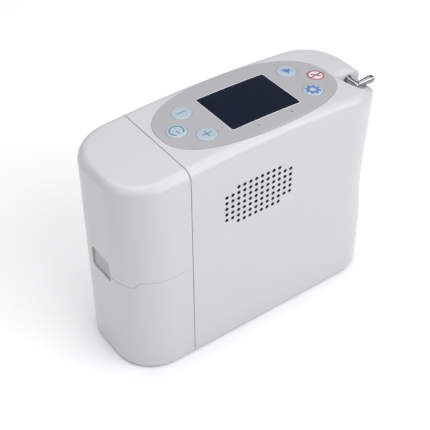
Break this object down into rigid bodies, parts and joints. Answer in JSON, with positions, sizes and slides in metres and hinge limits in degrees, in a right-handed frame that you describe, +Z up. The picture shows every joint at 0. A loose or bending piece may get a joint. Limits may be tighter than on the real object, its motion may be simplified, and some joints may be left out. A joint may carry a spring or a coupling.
{
  "type": "portable oxygen concentrator",
  "caption": "Handheld oxygen concentrator: rounded box with display and keys on top, swivelling outlet barb, side grilles and a pull-off battery pack.",
  "frame": {"origin": "bottom centre of the whole object's box, outlet barb included, on the plane of the feet", "axes": "+Z up, +X from the battery pack to the outlet end, -Y the long side with the exhaust grille"},
  "size_m": [0.235, 0.088, 0.1775],
  "materials": {
    "housing": "glossy moulded",
    "panel": "satin printed film",
    "bezel": "glossy moulded",
    "window": "polished hard-coated",
    "key": "satin embossed",
    "badge": "printed",
    "led_lens": "translucent",
    "chrome": "bright plated",
    "steel": "machined",
    "aluminium": "anodised",
    "cast_alloy": "die cast",
    "copper": "enamelled wire and drawn tube",
    "rubber": "moulded",
    "black_plastic": "moulded",
    "grey_plastic": "moulded",
    "latch_grey": "moulded",
    "pcb": "solder resist",
    "lcd": "frame and glass stack",
    "valve_body": "moulded coil",
    "zeolite": "packed beads",
    "hose": "silicone",
    "foam": "open-cell foam",
    "cell_can": "steel can in shrink sleeve",
    "contact_gold": "plated"
  },
  "bodies": {
    "main_unit": {"main_shell": "housing", "base_plate": "grey_plastic", "rubber_feet": "rubber", "base_screws": "steel", "seam_bulkhead": "grey_plastic", "contact_receptacle": "black_plastic", "catch_clip": "steel", "panel_overlay": "panel", "display_bezel": "bezel", "display_window": "window", "lcd_module": "lcd", "display_pcb": "pcb", "dome_switches": "black_plastic", "status_leds": "led_lens", "warning_badge": "badge", "outlet_bush": "grey_plastic", "chassis_tray": "aluminium", "isolator_mounts": "rubber", "crankcase": "cast_alloy", "shaft_bearings": "steel", "cylinder_liners": "aluminium", "cylinder_heads": "cast_alloy", "motor_stator": "copper", "cooling_coil": "copper", "fan_frame": "black_plastic", "sieve_columns": "aluminium", "zeolite_beds": "zeolite", "bed_springs": "steel", "column_caps": "grey_plastic", "valve_manifold": "cast_alloy", "solenoid_valves": "valve_body", "product_tank": "aluminium", "pulse_valve": "valve_body", "oxygen_sensor": "bezel", "air_hoses": "hose", "main_pcb": "pcb", "intake_filter": "foam", "intake_muffler": "grey_plastic", "dc_jack": "black_plastic"},
    "key_minus": {"key_minus": "key"},
    "key_power": {"key_power": "key"},
    "key_plus": {"key_plus": "key"},
    "key_bell": {"key_bell": "key"},
    "key_settings": {"key_settings": "key"},
    "outlet_elbow": {"nozzle_elbow": "chrome", "nozzle_o_ring": "rubber"},
    "crank": {"crankshaft": "steel", "motor_rotor": "steel"},
    "left_piston": {"piston_left": "aluminium"},
    "right_piston": {"piston_right": "aluminium"},
    "fan": {"fan_impeller": "black_plastic"},
    "battery_pack": {"battery_upper_case": "housing", "battery_lower_case": "housing", "battery_inner_cover": "grey_plastic", "battery_cells": "cell_can", "bms_board": "pcb", "battery_contacts": "contact_gold", "latch_spring": "steel"},
    "latch": {"latch_button": "latch_grey"}
  },
  "joints": [
    {"name": "minus_press", "type": "slide", "parent": "main_unit", "child": "key_minus", "axis": [0.0326, 0, -0.9995], "range_m": [0, 0.0004], "stiffness_N_per_m": 2500},
    {"name": "power_press", "type": "slide", "parent": "main_unit", "child": "key_power", "axis": [0.0473, 0, -0.9989], "range_m": [0, 0.0004], "stiffness_N_per_m": 2500},
    {"name": "plus_press", "type": "slide", "parent": "main_unit", "child": "key_plus", "axis": [0.0326, 0, -0.9995], "range_m": [0, 0.0004], "stiffness_N_per_m": 2500},
    {"name": "bell_press", "type": "slide", "parent": "main_unit", "child": "key_bell", "axis": [-0.0623, 0, -0.9981], "range_m": [0, 0.0004], "stiffness_N_per_m": 2500},
    {"name": "settings_press", "type": "slide", "parent": "main_unit", "child": "key_settings", "axis": [-0.0623, 0, -0.9981], "range_m": [0, 0.0004], "stiffness_N_per_m": 2500},
    {"name": "outlet_swivel", "type": "hinge", "parent": "main_unit", "child": "outlet_elbow", "pos_m": [0.1011, -0.0182, 0.165], "axis": [0, -1, 0], "range_deg": [0, 90]},
    {"name": "crank_spin", "type": "hinge", "parent": "main_unit", "child": "crank", "pos_m": [-0.0075, 0, 0.046], "axis": [0, 1, 0], "continuous": true},
    {"name": "left_piston_stroke", "type": "slide", "parent": "main_unit", "child": "left_piston", "axis": [-1, 0, 0], "range_m": [-0.0022, 0.0022]},
    {"name": "right_piston_stroke", "type": "slide", "parent": "main_unit", "child": "right_piston", "axis": [1, 0, 0], "range_m": [-0.0022, 0.0022]},
    {"name": "fan_spin", "type": "hinge", "parent": "main_unit", "child": "fan", "pos_m": [-0.00978, -0.0365, 0.12975], "axis": [0, 1, 0], "continuous": true},
    {"name": "battery_pull", "type": "slide", "parent": "main_unit", "child": "battery_pack", "axis": [-1, 0, 0], "range_m": [0, 0.06], "deforming": ["catch_clip"]},
    {"name": "latch_press", "type": "slide", "parent": "battery_pack", "child": "latch", "axis": [1, 0, 0], "range_m": [0, 0.003], "stiffness_N_per_m": 900, "springref_m": -0.001, "deforming": ["latch_spring"]}
  ]
}
